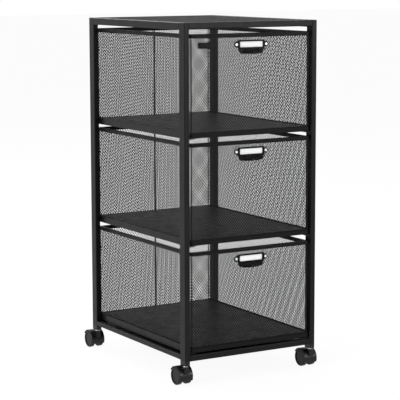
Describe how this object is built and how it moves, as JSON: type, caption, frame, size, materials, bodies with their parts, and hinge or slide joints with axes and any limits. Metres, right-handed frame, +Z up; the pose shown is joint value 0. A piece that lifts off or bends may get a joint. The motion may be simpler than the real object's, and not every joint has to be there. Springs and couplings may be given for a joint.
{
  "type": "rolling file cabinet",
  "caption": "Rolling file cabinet: black tube frame on swivel casters with a stack of sliding wire mesh drawers.",
  "frame": {"origin": "middle of the ground that the cabinet covers, on the floor", "axes": "+Z up, +X to the right of someone who faces the drawers, +Y from the drawer fronts to the back"},
  "size_m": [0.286, 0.3752, 0.6243],
  "materials": {
    "painted_frame": "satin",
    "painted_drawer": "satin",
    "wire_mesh": "satin",
    "holder_steel": "satin",
    "dark_steel": "satin",
    "zinc_steel": "satin",
    "black_plastic": "satin",
    "wheel_plastic": "satin",
    "white_card": "matte"
  },
  "bodies": {
    "frame": {"front_left_post": "painted_frame", "front_right_post": "painted_frame", "rear_left_post": "painted_frame", "rear_right_post": "painted_frame", "top_left_rail": "painted_frame", "bottom_left_rail": "painted_frame", "top_right_rail": "painted_frame", "bottom_right_rail": "painted_frame", "top_front_rail": "painted_frame", "bottom_front_rail": "painted_frame", "top_rear_rail": "painted_frame", "bottom_rear_rail": "painted_frame", "top_panel": "wire_mesh", "base_panel": "painted_frame", "lower_runners": "painted_frame", "middle_runners": "painted_frame", "upper_runners": "painted_frame", "runner_rivets": "dark_steel", "post_feet": "black_plastic", "caster_stems": "zinc_steel"},
    "front_left_caster": {"front_left_caster_hood": "black_plastic", "front_left_caster_axle": "zinc_steel"},
    "front_left_caster_left_wheel": {"front_left_caster_left_wheel": "wheel_plastic"},
    "front_left_caster_right_wheel": {"front_left_caster_right_wheel": "wheel_plastic"},
    "front_right_caster": {"front_right_caster_hood": "black_plastic", "front_right_caster_axle": "zinc_steel"},
    "front_right_caster_left_wheel": {"front_right_caster_left_wheel": "wheel_plastic"},
    "front_right_caster_right_wheel": {"front_right_caster_right_wheel": "wheel_plastic"},
    "rear_left_caster": {"rear_left_caster_hood": "black_plastic", "rear_left_caster_axle": "zinc_steel"},
    "rear_left_caster_left_wheel": {"rear_left_caster_left_wheel": "wheel_plastic"},
    "rear_left_caster_right_wheel": {"rear_left_caster_right_wheel": "wheel_plastic"},
    "rear_right_caster": {"rear_right_caster_hood": "black_plastic", "rear_right_caster_axle": "zinc_steel"},
    "rear_right_caster_left_wheel": {"rear_right_caster_left_wheel": "wheel_plastic"},
    "rear_right_caster_right_wheel": {"rear_right_caster_right_wheel": "wheel_plastic"},
    "bottom_drawer": {"bottom_drawer_rim": "painted_drawer", "bottom_drawer_base_frame": "painted_drawer", "bottom_drawer_mesh_walls": "wire_mesh", "bottom_drawer_floor_panel": "painted_drawer", "bottom_drawer_label_holder": "holder_steel", "bottom_drawer_label_card": "white_card", "bottom_drawer_label_screws": "zinc_steel"},
    "middle_drawer": {"middle_drawer_rim": "painted_drawer", "middle_drawer_base_frame": "painted_drawer", "middle_drawer_mesh_walls": "wire_mesh", "middle_drawer_floor_panel": "painted_drawer", "middle_drawer_label_holder": "holder_steel", "middle_drawer_label_card": "white_card", "middle_drawer_label_screws": "zinc_steel"},
    "top_drawer": {"top_drawer_rim": "painted_drawer", "top_drawer_base_frame": "painted_drawer", "top_drawer_mesh_walls": "wire_mesh", "top_drawer_floor_panel": "painted_drawer", "top_drawer_label_holder": "holder_steel", "top_drawer_label_card": "white_card", "top_drawer_label_screws": "zinc_steel", "top_drawer_name_plate": "holder_steel"}
  },
  "joints": [
    {"name": "front_left_caster_swivel", "type": "hinge", "parent": "frame", "child": "front_left_caster", "pos_m": [-0.13, -0.17308, 0.0333], "axis": [0, 0, 1], "continuous": true},
    {"name": "front_left_caster_left_wheel_roll", "type": "hinge", "parent": "front_left_caster", "child": "front_left_caster_left_wheel", "pos_m": [-0.13, -0.16007, 0.01565], "axis": [1, 0, 0], "continuous": true},
    {"name": "front_left_caster_right_wheel_roll", "type": "hinge", "parent": "front_left_caster", "child": "front_left_caster_right_wheel", "pos_m": [-0.13, -0.16007, 0.01565], "axis": [1, 0, 0], "continuous": true},
    {"name": "front_right_caster_swivel", "type": "hinge", "parent": "frame", "child": "front_right_caster", "pos_m": [0.13, -0.17308, 0.0333], "axis": [0, 0, 1], "continuous": true},
    {"name": "front_right_caster_left_wheel_roll", "type": "hinge", "parent": "front_right_caster", "child": "front_right_caster_left_wheel", "pos_m": [0.13, -0.16007, 0.01565], "axis": [1, 0, 0], "continuous": true},
    {"name": "front_right_caster_right_wheel_roll", "type": "hinge", "parent": "front_right_caster", "child": "front_right_caster_right_wheel", "pos_m": [0.13, -0.16007, 0.01565], "axis": [1, 0, 0], "continuous": true},
    {"name": "rear_left_caster_swivel", "type": "hinge", "parent": "frame", "child": "rear_left_caster", "pos_m": [-0.13, 0.15893, 0.0333], "axis": [0, 0, 1], "continuous": true},
    {"name": "rear_left_caster_left_wheel_roll", "type": "hinge", "parent": "rear_left_caster", "child": "rear_left_caster_left_wheel", "pos_m": [-0.13, 0.17192, 0.01565], "axis": [1, 0, 0], "continuous": true},
    {"name": "rear_left_caster_right_wheel_roll", "type": "hinge", "parent": "rear_left_caster", "child": "rear_left_caster_right_wheel", "pos_m": [-0.13, 0.17192, 0.01565], "axis": [1, 0, 0], "continuous": true},
    {"name": "rear_right_caster_swivel", "type": "hinge", "parent": "frame", "child": "rear_right_caster", "pos_m": [0.13, 0.15893, 0.0333], "axis": [0, 0, 1], "continuous": true},
    {"name": "rear_right_caster_left_wheel_roll", "type": "hinge", "parent": "rear_right_caster", "child": "rear_right_caster_left_wheel", "pos_m": [0.13, 0.17192, 0.01565], "axis": [1, 0, 0], "continuous": true},
    {"name": "rear_right_caster_right_wheel_roll", "type": "hinge", "parent": "rear_right_caster", "child": "rear_right_caster_right_wheel", "pos_m": [0.13, 0.17192, 0.01565], "axis": [1, 0, 0], "continuous": true},
    {"name": "bottom_drawer_slide", "type": "slide", "parent": "frame", "child": "bottom_drawer", "axis": [0, -1, 0], "range_m": [0, 0.25]},
    {"name": "middle_drawer_slide", "type": "slide", "parent": "frame", "child": "middle_drawer", "axis": [0, -1, 0], "range_m": [0, 0.25]},
    {"name": "top_drawer_slide", "type": "slide", "parent": "frame", "child": "top_drawer", "axis": [0, -1, 0], "range_m": [0, 0.25]}
  ]
}
